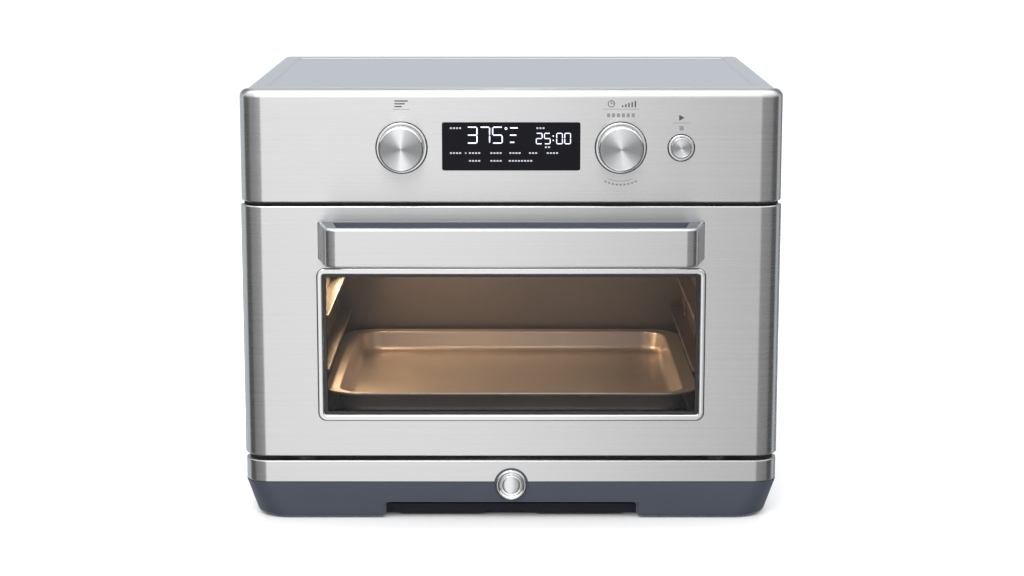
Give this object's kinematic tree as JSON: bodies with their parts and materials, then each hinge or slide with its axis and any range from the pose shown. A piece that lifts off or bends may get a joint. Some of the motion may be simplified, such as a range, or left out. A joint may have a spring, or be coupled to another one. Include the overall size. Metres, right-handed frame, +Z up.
{
  "type": "toaster oven",
  "caption": "Counter-top convection toaster oven with a drop-down glass door, bar handle, turning knobs, push button, display, rack with baking pan and pull-out crumb tray.",
  "frame": {"origin": "under the middle of the oven, on the surface it stands on", "axes": "+Z up, the door and the controls face -Y, +X to the right of someone who faces the door"},
  "size_m": [0.4474, 0.392, 0.36],
  "materials": {
    "brushed_steel": "brushed stainless sheet, grain along X",
    "case_steel": "brushed sheet with a cooler tone",
    "zinc_steel": "plain zinc-coated sheet",
    "cavity_steel": "dull aluminised sheet, browned by heat",
    "bright_trim": "polished trim",
    "spun_metal": "spun face with round grain",
    "slate_plastic": "fine moulded grain",
    "black_plastic": "fine moulded grain",
    "display_black": "gloss black window",
    "clear_glass": "clear tempered glass",
    "lamp_glass": "heat-proof glass",
    "rubber": "soft moulded rubber",
    "silicone": "heat-proof silicone",
    "ceramic": "unglazed steatite",
    "heater_sheath": "dark oxidised sheath",
    "pan_coating": "champagne non-stick coating",
    "tray_enamel": "dark enamel",
    "glass_wool": "matted fibre blanket",
    "circuit": "circuit board with parts",
    "wire_chrome": "plated wire",
    "bolt_steel": "plain turned steel",
    "motor_steel": "laminated stator and cans"
  },
  "bodies": {
    "oven": {"outer_case": "case_steel", "back_panel": "zinc_steel", "case_screws": "bolt_steel", "cord_inlet": "black_plastic", "base_skirt": "slate_plastic", "base_pan": "zinc_steel", "rubber_feet": "rubber", "lower_trim": "brushed_steel", "badge": "bright_trim", "front_frame": "cavity_steel", "cavity_liner": "cavity_steel", "rack_guides": "cavity_steel", "upper_heaters": "heater_sheath", "lower_heaters": "heater_sheath", "heater_insulators": "ceramic", "fan_cover": "cavity_steel", "fan_housing": "cavity_steel", "motor_bracket": "zinc_steel", "fan_motor": "motor_steel", "lamp_holder": "ceramic", "lamp_bulb": "lamp_glass", "lamp_lens": "lamp_glass", "temperature_probe": "bolt_steel", "insulation": "glass_wool", "divider_panel": "zinc_steel", "crumb_chute": "zinc_steel", "tray_runners": "zinc_steel", "control_fascia": "brushed_steel", "control_housing": "black_plastic", "display_window": "display_black", "control_board": "circuit", "encoders": "motor_steel", "start_switch": "black_plastic", "button_spring": "bolt_steel", "control_bezels": "bright_trim", "power_board": "circuit", "door_seal": "silicone", "hinge_brackets": "bolt_steel", "hinge_pins": "bolt_steel"},
    "door": {"door_skin": "brushed_steel", "door_inner_frame": "cavity_steel", "door_glass": "clear_glass", "glass_clips": "bolt_steel", "window_trim": "bright_trim", "handle_bar": "brushed_steel", "handle_liner": "slate_plastic", "handle_screws": "bolt_steel", "hinge_arms": "bolt_steel"},
    "rack": {"wire_rack": "wire_chrome", "baking_pan": "pan_coating"},
    "crumb_drawer": {"crumb_tray": "tray_enamel"},
    "mode_dial": {"mode_knob": "spun_metal", "mode_shaft": "bolt_steel"},
    "select_push": {"select_plunger": "black_plastic"},
    "temp_dial": {"temp_knob": "spun_metal", "temp_shaft": "bolt_steel"},
    "start_push": {"start_button": "spun_metal"},
    "fan": {"fan_shaft": "bolt_steel", "fan_impeller": "zinc_steel", "cooling_fan": "zinc_steel"}
  },
  "joints": [
    {"name": "door_hinge", "type": "hinge", "parent": "oven", "child": "door", "pos_m": [0, -0.148, 0.06], "axis": [1, 0, 0], "range_deg": [0, 90]},
    {"name": "rack_slide", "type": "slide", "parent": "oven", "child": "rack", "axis": [0, -1, 0], "range_m": [0, 0.0393]},
    {"name": "crumb_tray_slide", "type": "slide", "parent": "oven", "child": "crumb_drawer", "axis": [0, -1, 0], "range_m": [0, 0.22]},
    {"name": "mode_turn", "type": "hinge", "parent": "oven", "child": "mode_dial", "pos_m": [-0.0895, -0.154, 0.31308], "axis": [0, -1, 0], "continuous": true},
    {"name": "select_press", "type": "slide", "parent": "oven", "child": "select_push", "axis": [0, 1, 0], "range_m": [0, 0.0012], "stiffness_N_per_m": 1500, "springref_m": -0.001},
    {"name": "temp_turn", "type": "hinge", "parent": "select_push", "child": "temp_dial", "pos_m": [0.0895, -0.154, 0.31308], "axis": [0, -1, 0], "continuous": true},
    {"name": "start_press", "type": "slide", "parent": "oven", "child": "start_push", "axis": [0, 1, 0], "range_m": [0, 0.001], "stiffness_N_per_m": 1200, "springref_m": -0.001},
    {"name": "fan_spin", "type": "hinge", "parent": "oven", "child": "fan", "pos_m": [0, 0.0156, 0.27], "axis": [0, 0, 1], "continuous": true}
  ],
  "couplings": [
    {"joint": "rack_slide", "follows": "door_hinge", "m_per_rad": 0.025}
  ]
}
